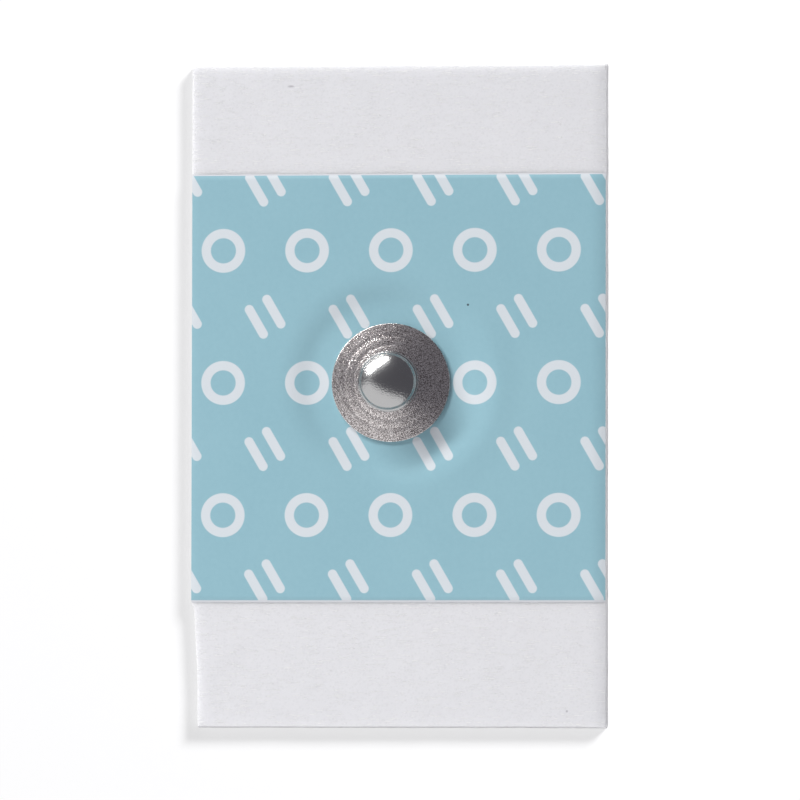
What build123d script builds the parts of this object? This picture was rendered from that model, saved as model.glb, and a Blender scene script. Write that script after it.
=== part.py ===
from build123d import *
import math
import os

# A disposable foam snap ECG electrode, in millimetres.
# It lies on its skin side at z = 0. The snap stud stands on the Z axis, and the foam's
# long side runs along Y. The foam isn't centred on the stud, as on the real one.

# Foam backing, cut from sheet
foam_width = 27.8
foam_length = 44.1
foam_thickness = 1.0
foam_corner_radius = 0.12
foam_edge_slope = 0.1          # the cut edge leans in by this much from bottom to top
stud_left_of_middle = 0.5      # where the stud's axis is, seen from the foam's middle
stud_above_middle = 0.85
foot_step = 0.2                # below the label the left edge jumps in by this much
foot_taper = 0.23              # and then runs in by this much more
foot_step_share = 0.06         # of the strip's length below the label
foot_taper_share = 0.62
well_radius = 7.5              # the hole through the foam that holds the gel

# Printed film label, glued across the foam
label_length = 28.5
stud_above_label_middle = 0.35
label_thickness = 0.1
dip_depth = 0.25               # how far the clinched stud pulls the film down
dip_floor_margin = 0.45        # flat film round the stud's flange

# Snap stud, one shell drawn from sheet metal
flange_radius = 3.95
sheet_thickness = 0.28
flange_rise = 0.5              # the flange is a shallow cone, this much higher at its neck
rim_seat = 0.25                # flat ring under its rim, which bears on the film
rim_lower_radius = 0.05
rim_upper_radius = 0.13
neck_height = 0.5              # from the flange's top to where the neck flares
neck_root_radius = 0.2
head_radius = 2.0              # the standard 4 mm snap
snap_undercut = 0.35           # the neck is this much smaller in radius than the head
flare_angle = 45               # of the wall under the head, in degrees from the axis
under_head_radius = 0.2
head_land = 0.4                # straight wall at the head's widest
land_edge_radius = 0.15
shoulder_radius = 0.55
cap_radius = 3.4
stud_wall = 0.25
ring_place_shares = (0.36, 0.63)  # two coined rings, from the neck's wall to the rim
ring_depth = 0.04
ring_tool_radius = 0.25

# Sensor eyelet, moulded with its post and coated
eyelet_thickness = 0.35
eyelet_overhang = 0.25         # how far its disc reaches past the stud's flange
eyelet_edge_radius = 0.1
post_clearance = 0.05          # between the post and the stud's bore
post_film_clearance = 0.1      # between the post and the label's hole
bulb_clearance = 0.12          # between the clinched bulb and the head's inside

# Hydrogel pad
gel_clearance = 0.2            # between the gel and the well's wall

overrun = 1.0                  # how far a cut runs past what it cuts

# Levels and places worked out from the sizes
foam_left = stud_left_of_middle - foam_width / 2
foam_right = foam_left + foam_width
foam_top_edge = foam_length / 2 - stud_above_middle
foam_bottom_edge = foam_top_edge - foam_length
label_top_edge = label_length / 2 - stud_above_label_middle
label_bottom_edge = label_top_edge - label_length
dip_radius = well_radius
dip_floor_radius = flange_radius + dip_floor_margin
dip_floor = foam_thickness - dip_depth
flange_bottom = dip_floor + label_thickness
rim_top = flange_bottom + sheet_thickness
flange_top = rim_top + flange_rise
neck_radius = head_radius - snap_undercut
flange_slope = flange_rise / (flange_radius - neck_radius)  # height lost per length outwards
neck_top = flange_top + neck_height
flare_slope = math.tan(math.radians(flare_angle))  # how far it runs out for its height
land_bottom = neck_top + snap_undercut / flare_slope
land_top = land_bottom + head_land
bore_radius = neck_radius - stud_wall
seat_radius = flange_radius - rim_seat
post_radius = bore_radius - post_clearance
label_hole_radius = post_radius + post_film_clearance
eyelet_radius = flange_radius + eyelet_overhang
gel_radius = well_radius - gel_clearance


def turned(outline):
    """The solid that an outline of radius and height makes about the Z axis."""
    return revolve(Plane.XZ * make_face(outline), Axis.Z)


def disc(radius, bottom, top):
    """A flat round blank between two levels."""
    blank = Cylinder(radius, top - bottom, align=(Align.CENTER, Align.CENTER, Align.MIN))
    return Pos(0, 0, bottom) * blank


def flare_bottom(inset):
    """Where the neck starts to flare, on the wall that lies inset inside the outer one."""
    return neck_top + inset * math.tan(math.radians(flare_angle / 2))


def dome(inset):
    """The head's shoulder and cap, from the top of its straight wall to the axis."""
    head = head_radius - inset
    shoulder = shoulder_radius - inset
    cap = cap_radius - inset
    lean = math.asin((head - shoulder) / (cap - shoulder))
    meet = (cap * math.sin(lean), land_top + shoulder * math.cos(lean))
    top = meet[1] + cap * (1 - math.cos(lean))
    shoulder_arc = TangentArc((head, land_top), meet, tangent=(0, 1))
    cap_arc = TangentArc(meet, (0, top), tangent=(-math.cos(lean), math.sin(lean)))
    return shoulder_arc + cap_arc, top


def foam_outline(inset):
    """The foam's outline, inset from the one at the skin side. Its foot is narrower at the left."""
    foot = label_bottom_edge - foam_bottom_edge
    step_end = label_bottom_edge - foot * foot_step_share
    taper_end = label_bottom_edge - foot * foot_taper_share
    left = foam_left + inset
    right = foam_right - inset
    top = foam_top_edge - inset
    bottom = foam_bottom_edge + inset
    corners = Polyline(
        (left, top),
        (left, label_bottom_edge),
        (left + foot_step, step_end),
        (left + foot_step + foot_taper, taper_end),
        (left + foot_step + foot_taper, bottom),
        (right, bottom),
        (right, top),
        close=True,
    )
    outline = make_face(corners)
    outer = outline.vertices().group_by(Axis.Y)[0] + outline.vertices().group_by(Axis.Y)[-1]
    return fillet(outer, foam_corner_radius)


def make_foam_backing():
    """A sheet with a slightly leaning cut edge and a round well through it."""
    upper = Pos(0, 0, foam_thickness) * foam_outline(foam_edge_slope)
    sheet = loft([foam_outline(0), upper], ruled=True)
    return sheet - disc(well_radius, -overrun, foam_thickness + overrun)


def film_line(level_shift):
    """The film's section from the dip's floor up to the foam's top, as one smooth curve."""
    low = dip_floor + level_shift
    high = foam_thickness + level_shift
    middle = (dip_floor_radius + dip_radius) / 2
    return Bezier(
        (dip_floor_radius, low),
        (middle, low),
        (middle, high),
        (dip_radius, high),
    )


def make_printed_label():
    """A film as wide as the foam's top, drawn down over the well by the clinched stud."""
    left = foam_left + foam_edge_slope
    right = foam_right - foam_edge_slope
    flat = Pos((left + right) / 2, (label_top_edge + label_bottom_edge) / 2, foam_thickness) * Box(
        right - left,
        label_length,
        label_thickness,
        align=(Align.CENTER, Align.CENTER, Align.MIN),
    )
    flat -= disc(dip_radius, foam_thickness - overrun, foam_thickness + overrun)
    lower = film_line(0)
    upper = film_line(label_thickness)
    section = (
        lower
        + Line(lower @ 1, upper @ 1)
        + upper
        + Polyline(
            upper @ 0,
            (label_hole_radius, flange_bottom),
            (label_hole_radius, dip_floor),
            lower @ 0,
        )
    )
    return flat + turned(section)


def make_snap_stud():
    """A drawn shell: conical coined flange, hollow neck and hollow head, open underneath."""
    wall = FilletPolyline(
        (0, flange_bottom),
        (flange_radius, flange_bottom),
        (flange_radius, rim_top),
        (neck_radius, flange_top),
        (neck_radius, neck_top),
        (head_radius, land_bottom),
        (head_radius, land_top),
        radius=[
            rim_lower_radius,
            rim_upper_radius,
            neck_root_radius,
            under_head_radius,
            land_edge_radius,
        ],
    )
    outer_dome, outer_top = dome(0)
    stud = turned(wall + outer_dome + Line((0, outer_top), (0, flange_bottom)))

    inner_flare = flare_bottom(stud_wall)
    hollow = Polyline(
        (0, flange_bottom - overrun),
        (seat_radius, flange_bottom - overrun),
        (seat_radius, flange_bottom),
        (bore_radius, flange_bottom + flange_slope * (seat_radius - bore_radius)),
        (bore_radius, inner_flare),
        (head_radius - stud_wall, inner_flare + snap_undercut / flare_slope),
        (head_radius - stud_wall, land_top),
    )
    inner_dome, roof = dome(stud_wall)
    stud -= turned(hollow + inner_dome + Line((0, roof), (0, flange_bottom - overrun)))

    for share in ring_place_shares:
        place = neck_radius + (flange_radius - neck_radius) * share
        level = flange_top - flange_slope * (place - neck_radius) - ring_depth + ring_tool_radius
        stud -= Pos(0, 0, level) * Torus(place, ring_tool_radius)
    return stud


def make_sensor_eyelet():
    """A disc under the film, and a post whose clinched bulb bears on the stud's flare."""
    bulb_inset = stud_wall + bulb_clearance
    bulb_radius = head_radius - bulb_inset
    seat_bottom = flare_bottom(stud_wall) - post_clearance / flare_slope
    seat_top = seat_bottom + (bulb_radius - post_radius) / flare_slope
    wall = FilletPolyline(
        (0, dip_floor - eyelet_thickness),
        (eyelet_radius, dip_floor - eyelet_thickness),
        (eyelet_radius, dip_floor),
        (post_radius, dip_floor),
        (post_radius, seat_bottom),
        (bulb_radius, seat_top),
        (bulb_radius, land_top),
        radius=[eyelet_edge_radius, 0, 0, 0, 0],
    )
    bulb_dome, bulb_top = dome(bulb_inset)
    return turned(wall + bulb_dome + Line((0, bulb_top), (0, dip_floor - eyelet_thickness)))


def make_gel_pad(sensor_eyelet):
    """A disc of gel in the foam's well, cast round the eyelet's disc."""
    return disc(gel_radius, 0, dip_floor) - sensor_eyelet


def main():
    os.makedirs("parts", exist_ok=True)
    sensor_eyelet = make_sensor_eyelet()
    parts = {
        "foam_backing": make_foam_backing(),
        "printed_label": make_printed_label(),
        "snap_stud": make_snap_stud(),
        "sensor_eyelet": sensor_eyelet,
        "gel_pad": make_gel_pad(sensor_eyelet),
    }
    for name, part in parts.items():
        export_step(part, f"parts/{name}.step")


main()
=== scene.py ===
import math

import bmesh
import bpy
from mathutils import Matrix, Vector, noise


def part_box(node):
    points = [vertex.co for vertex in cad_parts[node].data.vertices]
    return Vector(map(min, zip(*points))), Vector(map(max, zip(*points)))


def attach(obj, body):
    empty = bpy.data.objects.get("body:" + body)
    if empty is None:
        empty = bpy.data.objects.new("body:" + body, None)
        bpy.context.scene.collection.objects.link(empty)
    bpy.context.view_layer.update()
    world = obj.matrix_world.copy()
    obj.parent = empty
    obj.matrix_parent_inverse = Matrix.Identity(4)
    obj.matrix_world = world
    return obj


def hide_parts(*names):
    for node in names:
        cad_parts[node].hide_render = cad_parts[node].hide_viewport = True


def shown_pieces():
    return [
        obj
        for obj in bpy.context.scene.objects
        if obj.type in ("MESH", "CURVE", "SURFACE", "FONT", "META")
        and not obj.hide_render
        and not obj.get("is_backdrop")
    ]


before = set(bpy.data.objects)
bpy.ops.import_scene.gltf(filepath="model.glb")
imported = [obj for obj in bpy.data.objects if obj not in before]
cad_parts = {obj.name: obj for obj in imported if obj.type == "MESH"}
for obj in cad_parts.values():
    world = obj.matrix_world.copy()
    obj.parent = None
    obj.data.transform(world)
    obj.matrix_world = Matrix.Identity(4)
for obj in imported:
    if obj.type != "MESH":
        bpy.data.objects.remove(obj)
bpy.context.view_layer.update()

# A disposable foam snap electrode, seen from above. Sizes in the dictionaries are millimetres.
mm = 0.001

foamLow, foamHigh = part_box("foam_backing")
labelLow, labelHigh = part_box("printed_label")
studLow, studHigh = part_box("snap_stud")
eyeletLow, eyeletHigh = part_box("sensor_eyelet")
gelLow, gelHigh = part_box("gel_pad")


def linear(hexCode):
    # sRGB hex to the linear colour that Blender's sockets take
    channels = [int(hexCode[i:i + 2], 16) / 255 for i in (1, 3, 5)]
    return tuple(c / 12.92 if c <= 0.04045 else ((c + 0.055) / 1.055) ** 2.4 for c in channels) + (1.0,)


def addNode(tree, kind, settings, inputs):
    # an input that is a socket is linked, anything else becomes the socket's own value
    node = tree.nodes.new(kind)
    for name, value in settings.items():
        setattr(node, name, value)
    for place, value in inputs.items():
        if isinstance(value, bpy.types.NodeSocket):
            tree.links.new(value, node.inputs[place])
        else:
            node.inputs[place].default_value = value
    return node


def startMaterial(name):
    material = bpy.data.materials.new(name)
    material.use_nodes = True
    tree = material.node_tree
    tree.nodes.clear()
    place = tree.nodes.new("ShaderNodeTexCoord").outputs["Object"]
    return material, tree, place


def clampShare(value):
    return min(1.0, max(0.0, value))


def smoothShare(value):
    share = clampShare(value)
    return share * share * (3 - 2 * share)


def perSize(size):
    # the scale that makes a pattern's features about this many millimetres wide
    return 1 / (size * mm)


# Camera: nearly straight above, a little to the right and the front
view = {
    "middle": (0.63, -1.165, 1.13),   # the point in the picture's middle
    "distance": 600,
    "tilt": 6.2,                      # degrees from straight above
    "tiltToward": -22,                # degrees from +X
    "roll": 0.1,
    "shownWidth": 53.1,
    "sensor": 36,
}


def makeCamera(settings):
    tilt = math.radians(settings["tilt"])
    toward = math.radians(settings["tiltToward"])
    roll = math.radians(settings["roll"])
    back = Vector((math.sin(tilt) * math.cos(toward), math.sin(tilt) * math.sin(toward), math.cos(tilt)))
    across = Vector((-math.sin(roll), math.cos(roll), 0)).cross(back).normalized()
    up = back.cross(across)
    data = bpy.data.cameras.new("camera")
    data.sensor_width = settings["sensor"]
    data.lens = settings["sensor"] * settings["distance"] / settings["shownWidth"]
    data.clip_start = 0.05
    data.clip_end = 20
    camera = bpy.data.objects.new("camera", data)
    turned = Matrix((across, up, back)).transposed().to_4x4()
    place = Vector(settings["middle"]) * mm + back * settings["distance"] * mm
    camera.matrix_world = Matrix.Translation(place) @ turned
    bpy.context.scene.collection.objects.link(camera)
    bpy.context.scene.camera = camera


makeCamera(view)
print("camera set")


def finishPiece(bm, name, materials, sharpAngle):
    bmesh.ops.remove_doubles(bm, verts=bm.verts, dist=0.0005 * mm)
    bmesh.ops.recalc_face_normals(bm, faces=bm.faces)
    mesh = bpy.data.meshes.new(name)
    bm.to_mesh(mesh)
    bm.free()
    for material in materials:
        mesh.materials.append(material)
    mesh.shade_smooth()
    mesh.set_sharp_from_angle(angle=math.radians(sharpAngle))
    piece = bpy.data.objects.new(name, mesh)
    bpy.context.scene.collection.objects.link(piece)
    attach(piece, "root")
    return piece


def ringedSheet(sheet, left, right, bottom, top):
    # A grid whose square rings turn into circles round the stud. The innermost ring is the hole,
    # and the outermost is the sheet's own outline.
    bm = bmesh.new()
    rings = sheet["rings"]
    holeRings = sheet["holeRings"]
    bmesh.ops.create_grid(bm, x_segments=2 * rings, y_segments=2 * rings, size=rings)
    inside = [f for f in bm.faces if max(abs(c) for c in f.calc_center_median()[:2]) < holeRings]
    bmesh.ops.delete(bm, geom=inside, context="FACES")
    for v in bm.verts:
        across, along = v.co.x, v.co.y
        ring = max(abs(across), abs(along))
        share = (ring - holeRings) / (rings - holeRings)
        share += sheet["edgeCrowding"] * math.sin(math.pi * share) / math.pi
        if abs(across) >= abs(along):
            turn = math.pi / 4 * along / abs(across)
            circle = Vector((math.copysign(math.cos(turn), across), math.sin(turn), 0))
        else:
            turn = math.pi / 4 * across / abs(along)
            circle = Vector((math.sin(turn), math.copysign(math.cos(turn), along), 0))
        radius = sheet["holeRadius"] + share * (sheet["circlesTo"] - sheet["holeRadius"])
        outline = Vector((
            left + (across / ring + 1) / 2 * (right - left),
            bottom + (along / ring + 1) / 2 * (top - bottom),
            0,
        ))
        v.co = (circle * radius * mm).lerp(outline, clampShare(share) ** 3)
    return bm


# The cut edge that the foam and the film on it share
cutEdge = {
    "rollWidth": 0.5,       # the blade pressed the top down over this strip
    "rollDrop": 0.018,
    "rightRollWidth": 1.0,  # and more gently down to the right side
    "rightRollDrop": 0.1,
    "slope": 0.1,           # how far the cut leans in from bottom to top
    "drawBand": 3.0,        # moves of the edge fade out over this width
    "footStep": 0.2,        # below the film the left edge jumps in
    "footStepShare": 0.06,
    "footTaper": 0.23,
    "footTaperShare": 0.62,
}


def footInset(y):
    belowFilm = (labelLow.y - y) / (labelLow.y - foamLow.y)
    step = clampShare(belowFilm / cutEdge["footStepShare"])
    taperShare = cutEdge["footTaperShare"] - cutEdge["footStepShare"]
    taper = clampShare((belowFilm - cutEdge["footStepShare"]) / taperShare)
    return (step * cutEdge["footStep"] + taper * cutEdge["footTaper"]) * mm


def rollDrop(edgeDistance, toRight):
    near = clampShare(1 - edgeDistance / (cutEdge["rollWidth"] * mm))
    nearRight = clampShare(1 - toRight / (cutEdge["rightRollWidth"] * mm))
    return max(cutEdge["rollDrop"] * near ** 2, cutEdge["rightRollDrop"] * nearRight ** 2) * mm


def wobble(point, size, seed):
    # smooth unevenness between -1 and 1, of bumps about this many millimetres wide
    return noise.noise(point / (size * mm) + Vector((seed, seed * 1.7, seed * 2.3)))


# Foam backing
foam = {
    "rings": 96,
    "holeRings": 34,
    "holeRadius": 7.5,
    "circlesTo": 12.0,
    "edgeCrowding": 0.72,      # rings crowd together towards the cut edge
    "cornerRadius": 0.12,
    "wallRows": 6,
    "waviness": 0.02,          # long unevenness of the cut line
    "wavinessSize": 2.6,
    "raggedness": 0.012,       # short unevenness of the cut line
    "raggednessSize": 0.45,
    "wallPores": 0.02,         # cells that the blade opened
    "wallPoreSize": 0.16,
    "poreRows": (0.05, 0.95),  # shares of the wall's height between which they lie
    "swell": 0.012,            # the sheet's own unevenness on top
    "swellSize": 2.2,
    "swellFade": 1.0,          # it fades out over this distance from the film
}


def makeFoamPad(settings, materials):
    bm = ringedSheet(settings, foamLow.x, foamHigh.x, foamLow.y, foamHigh.y)
    corner = settings["cornerRadius"] * mm
    thickness = foamHigh.z - foamLow.z
    for v in bm.verts:    # round the four corners
        nearest = Vector((
            min(max(v.co.x, foamLow.x + corner), foamHigh.x - corner),
            min(max(v.co.y, foamLow.y + corner), foamHigh.y - corner),
            0,
        ))
        out = v.co - nearest
        if abs(out.x) > 0 and abs(out.y) > 0:
            v.co = nearest + out * max(abs(out.x), abs(out.y)) / out.length

    raised = bmesh.ops.extrude_face_region(bm, geom=bm.faces[:])["geom"]
    raisedVerts = [g for g in raised if isinstance(g, bmesh.types.BMVert)]
    bmesh.ops.translate(bm, verts=raisedVerts, vec=(0, 0, thickness))
    upright = [e for e in bm.edges if abs(e.verts[0].co.z - e.verts[1].co.z) > thickness / 2]
    bmesh.ops.subdivide_edges(bm, edges=upright, cuts=settings["wallRows"] - 1, use_grid_fill=True)

    for v in bm.verts:
        p = v.co.copy()
        height = p.z / thickness
        toLeft = p.x - foamLow.x
        toRight = foamHigh.x - p.x
        toBottom = p.y - foamLow.y
        toTop = foamHigh.y - p.y
        edgeDistance = min(toLeft, toRight, toBottom, toTop)
        band = cutEdge["drawBand"] * mm
        lean = cutEdge["slope"] * mm * height
        ragged = settings["waviness"] * wobble(p, settings["wavinessSize"], 3)
        ragged += settings["raggedness"] * wobble(p, settings["raggednessSize"], 5)
        onWall = settings["poreRows"][0] < height < settings["poreRows"][1]
        if edgeDistance < 0.0001 * mm and onWall:
            ragged += settings["wallPores"] * (wobble(p, settings["wallPoreSize"], 7) - 0.3)
        ragged *= mm
        v.co.x += (lean + footInset(p.y) - ragged) * clampShare(1 - toLeft / band)
        v.co.x -= (lean - ragged) * clampShare(1 - toRight / band)
        v.co.y += (lean - ragged) * clampShare(1 - toBottom / band)
        v.co.y -= (lean - ragged) * clampShare(1 - toTop / band)
        v.co.z -= rollDrop(edgeDistance, toRight) * height
        underFilm = labelLow.y < p.y < labelHigh.y
        if height > 0.99 and not underFilm:
            toFilm = min(abs(p.y - labelLow.y), abs(p.y - labelHigh.y))
            fade = smoothShare(toFilm / (settings["swellFade"] * mm))
            v.co.z += settings["swell"] * mm * fade * (wobble(p, settings["swellSize"], 11) - 0.5)

    pad = finishPiece(bm, "foamPad", materials, 50)
    for face in pad.data.polygons:
        if face.center.z < 0.01 * thickness:
            face.material_index = 1
    return pad


foamLook = {
    "streakSlant": 8,          # degrees
    "streakLength": 0.65,
    "streakWidth": 0.08,
    "streakLevels": (0.635, 0.675),   # a streak shows where the noise passes these
    "edgeBand": (0.3, 1.2),    # more of them between these distances from two edges
    "moreStreaks": 0.07,
    "pinholeSize": 0.22,
    "skinSize": 0.35,
    "cloudSize": 5,
    "skinDepth": 0.005,
    "streakDepth": 0.016,
    "pinholeDepth": 0.004,
    "lightSoak": 0.5,          # how far light soaks in
    "hair": ((-6.71, 19.75), (0.22, 0.07)),      # place and half size of two dust specks
    "grain": ((11.75, -21.8), (0.08, 0.08)),
}


def foamSurface():
    # Closed-cell polyethylene foam sheet, blown and skived: a matt, slightly waxy white skin
    # with faint streaks and pinholes along the sheet, and light that soaks in a little.
    material, tree, place = startMaterial("closedCellPolyethyleneFoam")
    look = foamLook
    longScale = perSize(look["streakLength"])
    streakPlace = addNode(tree, "ShaderNodeMapping", {}, {
        "Vector": place,
        "Rotation": (0, 0, math.radians(look["streakSlant"])),
        "Scale": (longScale, perSize(look["streakWidth"]), longScale)})
    streaks = addNode(tree, "ShaderNodeTexNoise", {}, {
        "Vector": streakPlace.outputs[0], "Scale": 1.0, "Detail": 1.0, "Roughness": 0.5})
    # the blade tore more of them along the left and the upper edge
    parts = addNode(tree, "ShaderNodeSeparateXYZ", {}, {0: place})
    bandNear, bandFar = (distance * mm for distance in look["edgeBand"])
    nearLeft = addNode(tree, "ShaderNodeMapRange", {}, {
        "Value": parts.outputs["X"],
        "From Min": foamLow.x + bandFar,
        "From Max": foamLow.x + bandNear,
        "To Max": look["moreStreaks"]})
    nearTop = addNode(tree, "ShaderNodeMapRange", {}, {
        "Value": parts.outputs["Y"],
        "From Min": foamHigh.y - bandFar,
        "From Max": foamHigh.y - bandNear,
        "To Max": look["moreStreaks"]})
    nearEdge = addNode(tree, "ShaderNodeMath", {"operation": "MAXIMUM"}, {
        0: nearLeft.outputs[0], 1: nearTop.outputs[0]})
    streakPlus = addNode(tree, "ShaderNodeMath", {"operation": "ADD"}, {
        0: streaks.outputs["Fac"], 1: nearEdge.outputs[0]})
    bright = addNode(tree, "ShaderNodeMapRange", {"interpolation_type": "SMOOTHSTEP"}, {
        "Value": streakPlus.outputs[0],
        "From Min": look["streakLevels"][0],
        "From Max": look["streakLevels"][1]})
    cells = addNode(tree, "ShaderNodeTexVoronoi", {"feature": "F1"}, {
        "Vector": place, "Scale": perSize(look["pinholeSize"])})
    pinholes = addNode(tree, "ShaderNodeMapRange", {}, {
        "Value": cells.outputs["Distance"], "From Min": 0.0, "From Max": 0.5})
    skin = addNode(tree, "ShaderNodeTexNoise", {}, {
        "Vector": place, "Scale": perSize(look["skinSize"]), "Detail": 4.0})
    clouds = addNode(tree, "ShaderNodeTexNoise", {}, {
        "Vector": place, "Scale": perSize(look["cloudSize"]), "Detail": 2.0})
    tone = addNode(tree, "ShaderNodeMix", {"data_type": "RGBA"}, {
        0: clouds.outputs["Fac"], 6: linear("#F1F1F3"), 7: linear("#F4F4F6")})
    streaked = addNode(tree, "ShaderNodeMix", {"data_type": "RGBA"}, {
        0: bright.outputs[0], 6: tone.outputs[2], 7: linear("#FDFDFD")})
    pitted = addNode(tree, "ShaderNodeMix", {"data_type": "RGBA"}, {
        0: pinholes.outputs[0], 6: linear("#EDEDEF"), 7: streaked.outputs[2]})
    colour = pitted.outputs[2]
    # a short hair near the upper edge and a grain near the lower right corner
    for (x, y), (halfWidth, halfHeight) in (look["hair"], look["grain"]):
        centred = addNode(tree, "ShaderNodeMapping", {"vector_type": "POINT"}, {
            "Vector": place,
            "Location": (-x / halfWidth, -y / halfHeight, 0),
            "Scale": (perSize(halfWidth), perSize(halfHeight), 0)})
        reach = addNode(tree, "ShaderNodeVectorMath", {"operation": "LENGTH"}, {0: centred.outputs[0]})
        speck = addNode(tree, "ShaderNodeMapRange", {}, {
            "Value": reach.outputs["Value"], "From Min": 1.3, "From Max": 0.5})
        specked = addNode(tree, "ShaderNodeMix", {"data_type": "RGBA"}, {
            0: speck.outputs[0], 6: colour, 7: linear("#CFCDD1")})
        colour = specked.outputs[2]
    skinBump = addNode(tree, "ShaderNodeBump", {}, {
        "Height": skin.outputs["Fac"], "Strength": 1.0, "Distance": look["skinDepth"] * mm})
    streakBump = addNode(tree, "ShaderNodeBump", {}, {
        "Height": bright.outputs[0],
        "Strength": 1.0,
        "Distance": look["streakDepth"] * mm,
        "Normal": skinBump.outputs[0]})
    cellBump = addNode(tree, "ShaderNodeBump", {}, {
        "Height": pinholes.outputs[0],
        "Strength": 1.0,
        "Distance": look["pinholeDepth"] * mm,
        "Normal": streakBump.outputs[0]})
    shader = addNode(tree, "ShaderNodeBsdfPrincipled", {}, {
        "Base Color": colour,
        "Roughness": 0.62,
        "IOR": 1.5,
        "Specular IOR Level": 0.35,
        "Subsurface Weight": 1.0,
        "Subsurface Radius": (1.0, 1.0, 1.0),
        "Subsurface Scale": look["lightSoak"] * mm,
        "Normal": cellBump.outputs[0]})
    addNode(tree, "ShaderNodeOutputMaterial", {}, {"Surface": shader.outputs[0]})
    return material


def adhesiveSurface():
    # Acrylic skin adhesive, coated on the foam: clear and tacky, so the white shows through
    # under an uneven half gloss.
    material, tree, place = startMaterial("coatedAcrylicAdhesive")
    coat = addNode(tree, "ShaderNodeTexNoise", {}, {"Vector": place, "Scale": perSize(0.6), "Detail": 3.0})
    tone = addNode(tree, "ShaderNodeMix", {"data_type": "RGBA"}, {
        0: coat.outputs["Fac"], 6: linear("#E9E7E0"), 7: linear("#F1F0EC")})
    gloss = addNode(tree, "ShaderNodeMapRange", {}, {
        "Value": coat.outputs["Fac"], "To Min": 0.22, "To Max": 0.4})
    bump = addNode(tree, "ShaderNodeBump", {}, {
        "Height": coat.outputs["Fac"], "Strength": 1.0, "Distance": 0.02 * mm})
    shader = addNode(tree, "ShaderNodeBsdfPrincipled", {}, {
        "Base Color": tone.outputs[2],
        "Roughness": gloss.outputs[0],
        "IOR": 1.47,
        "Normal": bump.outputs[0]})
    addNode(tree, "ShaderNodeOutputMaterial", {}, {"Surface": shader.outputs[0]})
    return material


foamPad = makeFoamPad(foam, [foamSurface(), adhesiveSurface()])
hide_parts("foam_backing")
print("foam pad made,", len(foamPad.data.polygons), "faces")


# Printed film label
film = {
    "rings": 78,
    "holeRings": 8,
    "holeRadius": 1.45,
    "circlesTo": 13.0,
    "edgeCrowding": 0.3,
    "thickness": 0.1,
    "dipTo": 4.4,              # flat round the stud's flange up to this radius
    "dipFrom": 7.5,            # and level with the foam from this one
    "bulge": 0.06,             # the film stands up to the right of the stud
    "bulgeDirection": 0,       # degrees from +X
    "bulgeSpread": 60,
    "bulgeRises": (4.5, 5.9),
    "bulgeFalls": (6.8, 9.0),
    "valley": 0.045,           # the film hollows between the flange and the foam
    "valleyAt": 5.5,
    "valleyWidth": 1.1,
    "edgePinch": 0.075,        # the cut pinched it thinner along its upper and lower edge
    "edgePinchWidth": 0.35,
    "curl": 0.006,
    "curlSize": 3.5,
}


def filmLevel(x, y):
    # height of the film's top over each point
    radius = math.hypot(x, y) / mm
    depth = labelHigh.z - labelLow.z - film["thickness"] * mm
    rise = smoothShare((radius - film["dipTo"]) / (film["dipFrom"] - film["dipTo"]))
    level = labelHigh.z - depth * (1 - rise)
    turn = math.degrees(math.atan2(y, x)) - film["bulgeDirection"]
    spread = math.exp(-((turn + 180) % 360 - 180) ** 2 / film["bulgeSpread"] ** 2)
    up = smoothShare((radius - film["bulgeRises"][0]) / (film["bulgeRises"][1] - film["bulgeRises"][0]))
    down = smoothShare((radius - film["bulgeFalls"][0]) / (film["bulgeFalls"][1] - film["bulgeFalls"][0]))
    level += film["bulge"] * mm * spread * (up - down)
    hollow = smoothShare(1 - abs(radius - film["valleyAt"]) / film["valleyWidth"])
    level -= film["valley"] * mm * hollow * (1 - spread)
    fade = smoothShare(radius - film["dipTo"])
    level += film["curl"] * mm * fade * wobble(Vector((x, y, 0)), film["curlSize"], 21)
    return level


def makeLabelFilm(settings, materials):
    bm = ringedSheet(settings, labelLow.x, labelHigh.x, labelLow.y, labelHigh.y)
    bottomFaces = bm.faces[:]
    raised = bmesh.ops.extrude_face_region(bm, geom=bottomFaces)["geom"]
    raisedVerts = [g for g in raised if isinstance(g, bmesh.types.BMVert)]
    bmesh.ops.translate(bm, verts=raisedVerts, vec=(0, 0, settings["thickness"] * mm))
    for v in bm.verts:
        toRight = labelHigh.x - v.co.x
        edgeDistance = min(v.co.x - labelLow.x, toRight)
        toCut = min(v.co.y - labelLow.y, labelHigh.y - v.co.y)
        pinch = smoothShare(1 - toCut / (settings["edgePinchWidth"] * mm)) if v.co.z > 0 else 0
        v.co.z += filmLevel(v.co.x, v.co.y) - settings["thickness"] * mm
        v.co.z -= rollDrop(edgeDistance, toRight) + settings["edgePinch"] * mm * pinch
    label = finishPiece(bm, "labelFilm", materials, 50)
    for face in label.data.polygons:
        if face.normal.z < 0.5:
            face.material_index = 1
    return label


# The print: rows of small rings, and between them rows of slanted pairs of dashes
printed = {
    "across": 5.6,
    "along": 8.8,
    "ringRadius": 1.15,
    "stroke": 0.62,
    "dashLength": 2.5,
    "dashGap": 1.35,
    "dashSlant": -30,
    "edgeSoftness": 0.03,
    "bottomMargin": 0.15,
    "topMargin": 0.1,
    "dust": (5.15, 5.15),
    "dustRadius": 0.075,
    "inkSize": 0.3,            # the ink's fine unevenness, and its clouds
    "cloudSize": 6,
    "inkDepth": 0.006,
}


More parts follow.
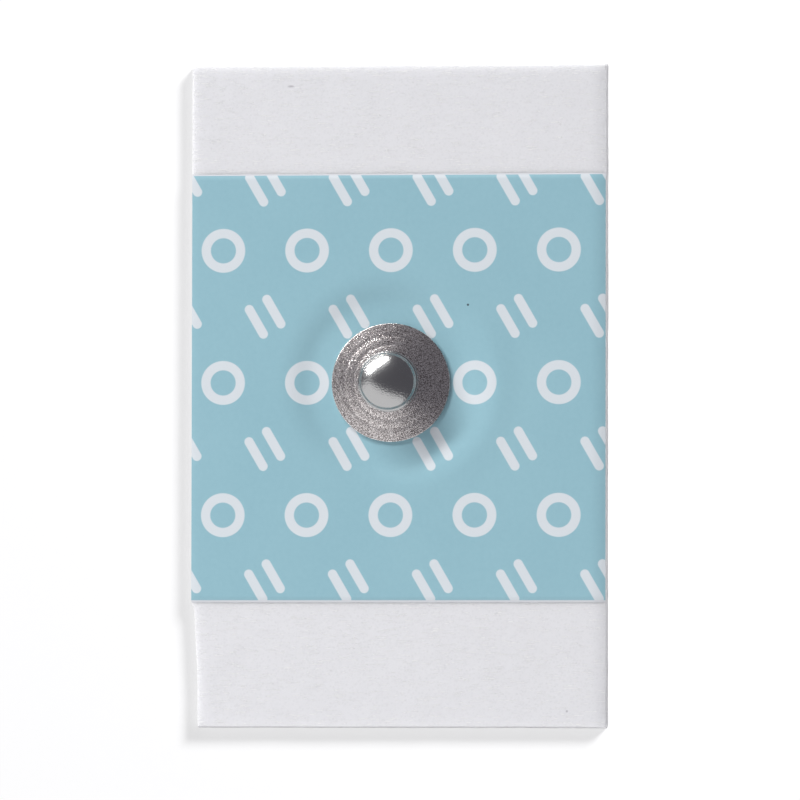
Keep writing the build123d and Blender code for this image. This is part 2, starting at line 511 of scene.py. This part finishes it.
def filmPrint():
    # Polyester film, printed and matt varnished: an even satin teal with crisp pale motifs,
    # a faint unevenness of the ink and a soft sheen where the film bends.
    material, tree, place = startMaterial("printedPolyesterFilm")
    flat = addNode(tree, "ShaderNodeMapping", {}, {"Vector": place, "Scale": (1 / mm, 1 / mm, 0)})
    half = (printed["across"] / 2, printed["along"] / 2, 1)
    ringCell = addNode(tree, "ShaderNodeVectorMath", {"operation": "WRAP"}, {
        0: flat.outputs[0], 1: half, 2: tuple(-h for h in half)})
    ringReach = addNode(tree, "ShaderNodeVectorMath", {"operation": "LENGTH"}, {0: ringCell.outputs[0]})
    ringOff = addNode(tree, "ShaderNodeMath", {"operation": "SUBTRACT"}, {
        0: ringReach.outputs["Value"], 1: printed["ringRadius"]})
    ringLine = addNode(tree, "ShaderNodeMath", {"operation": "ABSOLUTE"}, {0: ringOff.outputs[0]})
    shifted = addNode(tree, "ShaderNodeVectorMath", {"operation": "ADD"}, {0: flat.outputs[0], 1: half})
    dashCell = addNode(tree, "ShaderNodeVectorMath", {"operation": "WRAP"}, {
        0: shifted.outputs[0], 1: half, 2: tuple(-h for h in half)})
    slanted = addNode(tree, "ShaderNodeMapping", {}, {
        "Vector": dashCell.outputs[0],
        "Rotation": (0, 0, math.radians(printed["dashSlant"])),
        "Scale": (1, 1, 0)})
    folded = addNode(tree, "ShaderNodeVectorMath", {"operation": "ABSOLUTE"}, {0: slanted.outputs[0]})
    fromDash = addNode(tree, "ShaderNodeVectorMath", {"operation": "SUBTRACT"}, {
        0: folded.outputs[0],
        1: (printed["dashGap"] / 2, (printed["dashLength"] - printed["stroke"]) / 2, 0)})
    pastEnd = addNode(tree, "ShaderNodeVectorMath", {"operation": "MAXIMUM"}, {
        0: fromDash.outputs[0], 1: (-printed["across"], 0, 0)})
    dashLine = addNode(tree, "ShaderNodeVectorMath", {"operation": "LENGTH"}, {0: pastEnd.outputs[0]})
    nearest = addNode(tree, "ShaderNodeMath", {"operation": "MINIMUM"}, {
        0: ringLine.outputs[0], 1: dashLine.outputs["Value"]})
    inked = addNode(tree, "ShaderNodeMapRange", {}, {
        "Value": nearest.outputs[0],
        "From Min": printed["stroke"] / 2 + printed["edgeSoftness"],
        "From Max": printed["stroke"] / 2 - printed["edgeSoftness"]})
    inkNoise = addNode(tree, "ShaderNodeTexNoise", {}, {
        "Vector": place, "Scale": perSize(printed["inkSize"]), "Detail": 3.0})
    clouds = addNode(tree, "ShaderNodeTexNoise", {}, {
        "Vector": place, "Scale": perSize(printed["cloudSize"]), "Detail": 1.0})
    unevenness = addNode(tree, "ShaderNodeMix", {"data_type": "FLOAT"}, {
        0: 0.5, 2: inkNoise.outputs["Fac"], 3: clouds.outputs["Fac"]})
    teal = addNode(tree, "ShaderNodeMix", {"data_type": "RGBA"}, {
        0: unevenness.outputs[0], 6: linear("#97C4D1"), 7: linear("#A5D0DB")})
    motifs = addNode(tree, "ShaderNodeMix", {"data_type": "RGBA"}, {
        0: inked.outputs[0], 6: teal.outputs[2], 7: linear("#E7EEF2")})
    parts = addNode(tree, "ShaderNodeSeparateXYZ", {}, {0: place})
    bottomMargin = addNode(tree, "ShaderNodeMath", {"operation": "LESS_THAN"}, {
        0: parts.outputs["Y"], 1: labelLow.y + printed["bottomMargin"] * mm})
    topMargin = addNode(tree, "ShaderNodeMath", {"operation": "GREATER_THAN"}, {
        0: parts.outputs["Y"], 1: labelHigh.y - printed["topMargin"] * mm})
    margin = addNode(tree, "ShaderNodeMath", {"operation": "MAXIMUM"}, {
        0: bottomMargin.outputs[0], 1: topMargin.outputs[0]})
    bordered = addNode(tree, "ShaderNodeMix", {"data_type": "RGBA"}, {
        0: margin.outputs[0], 6: motifs.outputs[2], 7: linear("#E6E8EC")})
    fromDust = addNode(tree, "ShaderNodeVectorMath", {"operation": "DISTANCE"}, {
        0: flat.outputs[0], 1: printed["dust"] + (0,)})
    dust = addNode(tree, "ShaderNodeMapRange", {}, {
        "Value": fromDust.outputs["Value"],
        "From Min": printed["dustRadius"] * 1.3, "From Max": printed["dustRadius"] * 0.6})
    dusty = addNode(tree, "ShaderNodeMix", {"data_type": "RGBA"}, {
        0: dust.outputs[0], 6: bordered.outputs[2], 7: linear("#3E4A52")})
    bump = addNode(tree, "ShaderNodeBump", {}, {
        "Height": inkNoise.outputs["Fac"], "Strength": 1.0, "Distance": printed["inkDepth"] * mm})
    shader = addNode(tree, "ShaderNodeBsdfPrincipled", {}, {
        "Base Color": dusty.outputs[2],
        "Roughness": 0.42,
        "IOR": 1.57,
        "Specular IOR Level": 0.4,
        "Normal": bump.outputs[0]})
    addNode(tree, "ShaderNodeOutputMaterial", {}, {"Surface": shader.outputs[0]})
    return material


def filmBack():
    # The film's unprinted side with its acrylic adhesive: milky, with the teal faintly through it
    material, tree, place = startMaterial("adhesiveCoatedPolyesterFilm")
    coat = addNode(tree, "ShaderNodeTexNoise", {}, {"Vector": place, "Scale": perSize(0.5), "Detail": 2.0})
    tone = addNode(tree, "ShaderNodeMix", {"data_type": "RGBA"}, {
        0: coat.outputs["Fac"], 6: linear("#DDE8EB"), 7: linear("#E6EEF0")})
    bump = addNode(tree, "ShaderNodeBump", {}, {
        "Height": coat.outputs["Fac"], "Strength": 1.0, "Distance": 0.01 * mm})
    shader = addNode(tree, "ShaderNodeBsdfPrincipled", {}, {
        "Base Color": tone.outputs[2], "Roughness": 0.3, "IOR": 1.5, "Normal": bump.outputs[0]})
    addNode(tree, "ShaderNodeOutputMaterial", {}, {"Surface": shader.outputs[0]})
    return material


labelFilm = makeLabelFilm(film, [filmPrint(), filmBack()])
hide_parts("printed_label")
print("label film made,", len(labelFilm.data.polygons), "faces")


# Snap stud, drawn from one sheet
stud = {
    "steps": 480,
    "sheet": 0.28,
    "rimLower": 0.04,
    "rimUpper": 0.08,
    "neckRadius": 1.65,
    "neckHeight": 0.5,
    "neckRoot": 0.2,
    "flareAngle": 45,          # of the wall under the head, from the axis
    "rimSeat": 0.25,           # flat ring under the rim, which bears on the film
    "coneRise": 0.5,           # the flange is a shallow cone, this much higher at its neck
    "rimDrop": 0.06,           # the coining pressed its rim down a little more
    "headRadius": 2.0,
    "underHead": 0.2,
    "landEdge": 0.15,
    "beadRadius": 0.06,        # the bead round the head's widest: its rounded rim
    "beadInner": 1.87,         # where its sloping top meets the head's side
    "beadTilt": 33,            # the slope of its top, in degrees
    "sideLean": 21,            # the head's side leans in by this many degrees above the bead
    "shoulderRadius": 0.08,
    "capRadius": 3.0,
    "capEdge": 1.74,
    "wall": 0.25,
    "ringPlaces": (2.48, 3.10),
    "ringDepth": 0.008,
    "ringHalfWidth": 0.22,
    "flangeRows": 40,
    "stipple": 0.004,
    "stippleSize": 0.1,
    "stippleFades": (0.2, 0.1),   # it fades out over these at the neck and at the rim
}


def arcPoints(middle, radius, startAngle, endAngle, count):
    # points of a round stretch of the outline, as (radius, height) in millimetres
    made = []
    for i in range(count + 1):
        angle = math.radians(startAngle + (endAngle - startAngle) * i / count)
        made.append((middle[0] + radius * math.cos(angle), middle[1] + radius * math.sin(angle)))
    return made


def flangeLevel(radius):
    # height of the flange's top, in millimetres
    s = stud
    out = (radius - s["neckRadius"]) / (studHigh.x / mm - s["neckRadius"])
    level = studLow.z / mm + s["sheet"] + s["coneRise"] * (1 - out) - s["rimDrop"] * out
    for place in s["ringPlaces"]:
        level -= s["ringDepth"] * (1 - smoothShare(abs(radius - place) / s["ringHalfWidth"]))
    return level


def studOutline():
    s = stud
    bottom = studLow.z / mm
    rim = studHigh.x / mm
    top = studHigh.z / mm
    neckTop = bottom + s["sheet"] + s["coneRise"] + s["neckHeight"]
    undercut = s["headRadius"] - s["neckRadius"]
    landBottom = neckTop + undercut
    bore = s["neckRadius"] - s["wall"]
    rimTop = flangeLevel(rim - s["rimUpper"])
    seat = rim - s["rimSeat"]
    hollow = s["coneRise"] * (seat - bore) / (rim - s["neckRadius"])
    points = [(bore, bottom + hollow), (seat, bottom), (rim - s["rimLower"], bottom)]
    points += arcPoints((rim - s["rimLower"], bottom + s["rimLower"]), s["rimLower"], -90, 0, 3)
    points += arcPoints((rim - s["rimUpper"], rimTop - s["rimUpper"]), s["rimUpper"], 0, 90, 6)
    coneAngle = math.degrees(math.atan((s["coneRise"] + s["rimDrop"]) / (rim - s["neckRadius"])))
    rootMiddle = s["neckRadius"] + s["neckRoot"]
    flangeInner = rootMiddle - s["neckRoot"] * math.sin(math.radians(coneAngle))
    for i in range(1, s["flangeRows"] + 1):
        radius = rim - s["rimUpper"] - (rim - s["rimUpper"] - flangeInner) * i / s["flangeRows"]
        points.append((radius, flangeLevel(radius)))
    rootLevel = flangeLevel(flangeInner) + s["neckRoot"] * math.cos(math.radians(coneAngle))
    points += arcPoints((rootMiddle, rootLevel), s["neckRoot"], -90 - coneAngle, -180, 8)[1:]
    flare = s["flareAngle"]
    flareIn = s["underHead"] * math.tan(math.radians(flare / 2))
    flareMiddle = (s["neckRadius"] + s["underHead"], neckTop - flareIn)
    points += arcPoints(flareMiddle, s["underHead"], 180, 180 - flare, 4)
    edgeIn = s["landEdge"] * math.tan(math.radians(flare / 2))
    edgeMiddle = (s["headRadius"] - s["landEdge"], landBottom + edgeIn)
    points += arcPoints(edgeMiddle, s["landEdge"], -flare, 0, 4)
    capMiddle = top - s["capRadius"]
    capAngle = math.degrees(math.acos(s["capEdge"] / s["capRadius"]))
    cap = arcPoints((0, capMiddle), s["capRadius"], capAngle, 90, 26)
    shoulderMiddle = (
        cap[0][0] - s["shoulderRadius"] * math.cos(math.radians(capAngle)),
        cap[0][1] - s["shoulderRadius"] * math.sin(math.radians(capAngle)),
    )
    shoulder = arcPoints(shoulderMiddle, s["shoulderRadius"], s["sideLean"], capAngle, 5)
    sideOut, sideTop = shoulder[0]
    sideFoot = sideTop - (s["beadInner"] - sideOut) / math.tan(math.radians(s["sideLean"]))
    beadEnd = s["headRadius"] - s["beadRadius"] * (1 - math.sin(math.radians(s["beadTilt"])))
    beadEndLevel = sideFoot - (beadEnd - s["beadInner"]) * math.tan(math.radians(s["beadTilt"]))
    landTop = beadEndLevel - s["beadRadius"] * math.cos(math.radians(s["beadTilt"]))
    beadMiddle = (s["headRadius"] - s["beadRadius"], landTop)
    points += arcPoints(beadMiddle, s["beadRadius"], 0, 90 - s["beadTilt"], 4)
    for share in (0.3, 0.7):
        points.append((
            beadEnd + share * (s["beadInner"] - beadEnd),
            beadEndLevel + share * (sideFoot - beadEndLevel),
        ))
    for share in (0.05, 0.15, 0.5, 0.85):    # rows that keep the leaning side straight
        points.append((
            s["beadInner"] + share * (sideOut - s["beadInner"]),
            sideFoot + share * (sideTop - sideFoot),
        ))
    points += shoulder + cap[1:]
    roofRadius = s["capRadius"] - s["wall"]
    roofAngle = math.degrees(math.acos((s["headRadius"] - 2 * s["wall"]) / roofRadius))
    points += arcPoints((0, capMiddle), roofRadius, 90, roofAngle, 8)
    points.append((s["headRadius"] - s["wall"], landTop))
    points.append((s["headRadius"] - s["wall"], landBottom + s["wall"] / 2))
    points.append((bore, neckTop + s["wall"] / 2))
    return points


def makeStudShell(settings, material):
    bm = bmesh.new()
    ring = [bm.verts.new((radius * mm, 0, height * mm)) for radius, height in studOutline()]
    lines = [bm.edges.new((a, b)) for a, b in zip(ring, ring[1:] + ring[:1])]
    bmesh.ops.spin(bm, geom=ring + lines, cent=(0, 0, 0), axis=(0, 0, 1), dvec=(0, 0, 0),
                   angle=2 * math.pi, steps=settings["steps"], use_merge=True, use_duplicate=False)
    inner = settings["neckRadius"] + settings["neckRoot"]
    rim = studHigh.x / mm - settings["rimUpper"]
    neckFade, rimFade = settings["stippleFades"]
    for v in bm.verts:
        radius = math.hypot(v.co.x, v.co.y) / mm
        if inner < radius < rim and abs(v.co.z / mm - flangeLevel(radius)) < 0.01:
            fade = smoothShare((radius - inner) / neckFade) * smoothShare((rim - radius) / rimFade)
            v.co.z += settings["stipple"] * mm * fade * wobble(v.co, settings["stippleSize"], 31)
    return finishPiece(bm, "studShell", [material], 50)


plateLook = {
    "struckUpTo": (1.7, 1.9),  # heights between which the struck flange turns to smooth head
    "grainSize": 0.05,
    "headGrainSize": 0.1,
    "grainDepth": 0.012,
    "paintedGlintLevels": (0.40, 0.60),   # noise levels where a grain's colour turns from painted shade in its pit to a painted glint
    "headRoughness": 0.23,
    "flangeRoughness": 0.25,
}


def nickelPlate():
    # Nickel-plated brass, pressed: the flange was struck with a stippled die, so it glitters in grains, and
    # the head was drawn over a polished punch, so it mirrors the room softly. The flange's grains also carry
    # painted light in
    # their colour: the bright specks are painted glints and the dark specks are painted shade in the pits.
    material, tree, place = startMaterial("pressedNickelPlate")
    parts = addNode(tree, "ShaderNodeSeparateXYZ", {}, {0: place})
    look = plateLook
    flange = addNode(tree, "ShaderNodeMapRange", {}, {
        "Value": parts.outputs["Z"],
        "From Min": look["struckUpTo"][1] * mm,
        "From Max": look["struckUpTo"][0] * mm})
    grains = addNode(tree, "ShaderNodeTexNoise", {}, {
        "Vector": place, "Scale": perSize(look["grainSize"]), "Detail": 0.0})
    fine = addNode(tree, "ShaderNodeTexNoise", {}, {
        "Vector": place, "Scale": perSize(look["headGrainSize"]), "Detail": 1.0})
    height = addNode(tree, "ShaderNodeMix", {"data_type": "FLOAT"}, {
        0: flange.outputs[0], 2: fine.outputs["Fac"], 3: grains.outputs["Fac"]})
    grainBump = addNode(tree, "ShaderNodeBump", {}, {
        "Height": height.outputs[0], "Strength": 1.0, "Distance": look["grainDepth"] * mm})
    roughness = addNode(tree, "ShaderNodeMix", {"data_type": "FLOAT"}, {
        0: flange.outputs[0], 2: look["headRoughness"], 3: look["flangeRoughness"]})
    # painted light: each flange grain's colour runs from painted shade in the pits to a painted glint
    glintShare = addNode(tree, "ShaderNodeMapRange", {}, {
        "Value": grains.outputs["Fac"],
        "From Min": look["paintedGlintLevels"][0],
        "From Max": look["paintedGlintLevels"][1]})
    paintedGlintTone = addNode(tree, "ShaderNodeMix", {"data_type": "RGBA"}, {
        0: glintShare.outputs[0], 6: linear("#8A8280"), 7: linear("#FFFAF7")})
    tone = addNode(tree, "ShaderNodeMix", {"data_type": "RGBA"}, {
        0: flange.outputs[0], 6: linear("#B0B0AF"), 7: paintedGlintTone.outputs[2]})
    shader = addNode(tree, "ShaderNodeBsdfPrincipled", {}, {
        "Base Color": tone.outputs[2],
        "Metallic": 1.0,
        "Roughness": roughness.outputs[0],
        "Normal": grainBump.outputs[0]})
    addNode(tree, "ShaderNodeOutputMaterial", {}, {"Surface": shader.outputs[0]})
    return material


studShell = makeStudShell(stud, nickelPlate())
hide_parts("snap_stud")
print("stud made,", len(studShell.data.polygons), "faces")


# Sensor eyelet: the CAD piece itself, under the film
def silverChloride():
    # Silver over moulded ABS with a silver chloride surface: a dull, slightly violet grey with
    # fine dark grains and no mirror.
    material, tree, place = startMaterial("silverChlorideCoat")
    grains = addNode(tree, "ShaderNodeTexNoise", {}, {
        "Vector": place, "Scale": perSize(0.08), "Detail": 4.0})
    patches = addNode(tree, "ShaderNodeTexNoise", {}, {
        "Vector": place, "Scale": perSize(1.5), "Detail": 2.0})
    mixed = addNode(tree, "ShaderNodeMix", {"data_type": "FLOAT"}, {
        0: 0.45, 2: grains.outputs["Fac"], 3: patches.outputs["Fac"]})
    contrast = addNode(tree, "ShaderNodeMapRange", {}, {
        "Value": mixed.outputs[0], "From Min": 0.35, "From Max": 0.65})
    tone = addNode(tree, "ShaderNodeMix", {"data_type": "RGBA"}, {
        0: contrast.outputs[0], 6: linear("#8B868C"), 7: linear("#B4B0B2")})
    bump = addNode(tree, "ShaderNodeBump", {}, {
        "Height": grains.outputs["Fac"], "Strength": 1.0, "Distance": 0.01 * mm})
    shader = addNode(tree, "ShaderNodeBsdfPrincipled", {}, {
        "Base Color": tone.outputs[2], "Metallic": 0.25, "Roughness": 0.55, "Normal": bump.outputs[0]})
    addNode(tree, "ShaderNodeOutputMaterial", {}, {"Surface": shader.outputs[0]})
    return material


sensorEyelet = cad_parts["sensor_eyelet"]
sensorEyelet.data.materials.clear()
sensorEyelet.data.materials.append(silverChloride())
print("eyelet finished")


# Gel pad, cast round the eyelet's disc
gel = {
    "steps": 128,
    "edgeRadius": 0.12,
    "wetOverlap": 0.02,     # the gel wets the eyelet, so its recess is drawn this much smaller
    "rippleSize": 1.8,
    "ripple": 0.05,
    "hazeSize": 0.4,
}


def makeGelPad(settings, material):
    bottom = gelLow.z / mm
    top = gelHigh.z / mm
    rim = gelHigh.x / mm
    edge = settings["edgeRadius"]
    recessRadius = eyeletHigh.x / mm - settings["wetOverlap"]
    recessLevel = eyeletLow.z / mm + settings["wetOverlap"]
    points = [(0, bottom)]
    points += [(rim * share, bottom) for share in (0.2, 0.4, 0.6, 0.8)]
    points += arcPoints((rim - edge, bottom + edge), edge, -90, 0, 6)
    points += arcPoints((rim - edge, top - edge), edge, 0, 90, 6)
    points += [(recessRadius, top), (recessRadius, recessLevel), (0, recessLevel)]
    bm = bmesh.new()
    ring = [bm.verts.new((radius * mm, 0, height * mm)) for radius, height in points]
    lines = [bm.edges.new((a, b)) for a, b in zip(ring, ring[1:])]
    bmesh.ops.spin(bm, geom=ring + lines, cent=(0, 0, 0), axis=(0, 0, 1), dvec=(0, 0, 0),
                   angle=2 * math.pi, steps=settings["steps"], use_merge=True, use_duplicate=False)
    return finishPiece(bm, "gelPad", [material], 40)


def hydrogel():
    # Cross-linked hydrogel, cast: clear and wet, a little hazy, with a gloss like water
    material, tree, place = startMaterial("castHydrogel")
    ripples = addNode(tree, "ShaderNodeTexNoise", {}, {
        "Vector": place, "Scale": perSize(gel["rippleSize"]), "Detail": 2.0})
    bump = addNode(tree, "ShaderNodeBump", {}, {
        "Height": ripples.outputs["Fac"], "Strength": 1.0, "Distance": gel["ripple"] * mm})
    haze = addNode(tree, "ShaderNodeTexNoise", {}, {
        "Vector": place, "Scale": perSize(gel["hazeSize"]), "Detail": 3.0})
    tone = addNode(tree, "ShaderNodeMix", {"data_type": "RGBA"}, {
        0: haze.outputs["Fac"], 6: linear("#E6EDE8"), 7: linear("#F4F7F2")})
    gloss = addNode(tree, "ShaderNodeMapRange", {}, {
        "Value": haze.outputs["Fac"], "To Min": 0.05, "To Max": 0.16})
    shader = addNode(tree, "ShaderNodeBsdfPrincipled", {}, {
        "Base Color": tone.outputs[2],
        "Roughness": gloss.outputs[0],
        "IOR": 1.36,
        "Transmission Weight": 0.85,
        "Normal": bump.outputs[0]})
    addNode(tree, "ShaderNodeOutputMaterial", {}, {"Surface": shader.outputs[0]})
    return material


gelPad = makeGelPad(gel, hydrogel())
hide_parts("gel_pad")
print("gel pad made,", len(gelPad.data.polygons), "faces")


# Studio: a pale floor, a softbox at the upper left, a white card at the front left, a dim room
studio = {
    "room": "#6A6970",
    "floorSize": 4000,
    "floorDrop": 0.01,
    "floorWhite": 0.67,        # what the floor shows by itself, and the lamps add the rest
}
softboxes = {
    # direction in degrees from +X, tilt in degrees from straight above, the rest in millimetres
    "key": {"direction": 127, "tilt": 60, "distance": 1000, "width": 900, "height": 105, "radiance": 36.0},
    "card": {"direction": 244, "tilt": 58, "distance": 220, "width": 640, "height": 280, "radiance": 0.96},
    "floorLamp": {"direction": 48, "tilt": 57, "distance": 700, "width": 200, "height": 200, "radiance": 66},
}


def paperSurface():
    # Matt white paper sweep: bright by itself to the camera and in reflections, and it keeps
    # the soft shadow of what lies on it.
    material, tree, place = startMaterial("mattPaperSweep")
    fibres = addNode(tree, "ShaderNodeTexNoise", {}, {
        "Vector": place, "Scale": perSize(0.8), "Detail": 2.0})
    shade = addNode(tree, "ShaderNodeMix", {"data_type": "RGBA"}, {
        0: fibres.outputs["Fac"], 6: linear("#9C9C9D"), 7: linear("#9E9E9E")})
    rays = addNode(tree, "ShaderNodeLightPath", {}, {})
    seen = addNode(tree, "ShaderNodeMath", {"operation": "MAXIMUM"}, {
        0: rays.outputs["Is Camera Ray"], 1: rays.outputs["Is Glossy Ray"]})
    seenToo = addNode(tree, "ShaderNodeMath", {"operation": "MAXIMUM"}, {
        0: seen.outputs[0], 1: rays.outputs["Is Transmission Ray"]})
    tone = addNode(tree, "ShaderNodeMix", {"data_type": "RGBA"}, {
        0: seenToo.outputs[0], 6: linear("#F2F2F2"), 7: shade.outputs[2]})
    paper = addNode(tree, "ShaderNodeBsdfDiffuse", {}, {"Color": tone.outputs[2]})
    strength = addNode(tree, "ShaderNodeMath", {"operation": "MULTIPLY"}, {
        0: seenToo.outputs[0], 1: studio["floorWhite"]})
    glow = addNode(tree, "ShaderNodeEmission", {}, {
        "Color": linear("#FFFFFF"), "Strength": strength.outputs[0]})
    both = addNode(tree, "ShaderNodeAddShader", {}, {0: paper.outputs[0], 1: glow.outputs[0]})
    addNode(tree, "ShaderNodeOutputMaterial", {}, {"Surface": both.outputs[0]})
    return material


def makeFloor(settings):
    bm = bmesh.new()
    bmesh.ops.create_grid(bm, x_segments=1, y_segments=1, size=settings["floorSize"] * mm / 2)
    bmesh.ops.translate(bm, verts=bm.verts, vec=(0, 0, -settings["floorDrop"] * mm))
    mesh = bpy.data.meshes.new("floor")
    bm.to_mesh(mesh)
    bm.free()
    mesh.materials.append(paperSurface())
    floor = bpy.data.objects.new("floor", mesh)
    bpy.context.scene.collection.objects.link(floor)
    floor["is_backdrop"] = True
    return floor


def makeSoftbox(name, settings, lit):
    tilt = math.radians(settings["tilt"])
    direction = math.radians(settings["direction"])
    outward = Vector((
        math.sin(tilt) * math.cos(direction),
        math.sin(tilt) * math.sin(direction),
        math.cos(tilt),
    ))
    data = bpy.data.lights.new(name, "AREA")
    data.shape = "RECTANGLE"
    data.size = settings["width"] * mm
    data.size_y = settings["height"] * mm
    data.energy = settings["radiance"] * math.pi * data.size * data.size_y
    lamp = bpy.data.objects.new(name, data)
    lamp.location = outward * settings["distance"] * mm
    lamp.rotation_euler = outward.to_track_quat("Z", "Y").to_euler()
    lamp.light_linking.receiver_collection = lit
    bpy.context.scene.collection.objects.link(lamp)


def makeStudio():
    floor = makeFloor(studio)
    # the softbox and the card light the object alone, and the floor lamp lights only the floor,
    # where the object's shadow falls to the lower left
    onObject = bpy.data.collections.new("litByStudio")
    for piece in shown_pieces():
        onObject.objects.link(piece)
    onFloor = bpy.data.collections.new("litByFloorLamp")
    onFloor.objects.link(floor)
    for name, settings in softboxes.items():
        makeSoftbox(name, settings, onFloor if name == "floorLamp" else onObject)
    world = bpy.data.worlds.new("room")
    world.use_nodes = True
    world.node_tree.nodes.clear()
    room = addNode(world.node_tree, "ShaderNodeBackground", {}, {
        "Color": linear(studio["room"]), "Strength": 1.0})
    addNode(world.node_tree, "ShaderNodeOutputWorld", {}, {"Surface": room.outputs[0]})
    scene = bpy.context.scene
    scene.world = world
    scene.view_settings.view_transform = "Standard"


makeStudio()
print("studio lit")
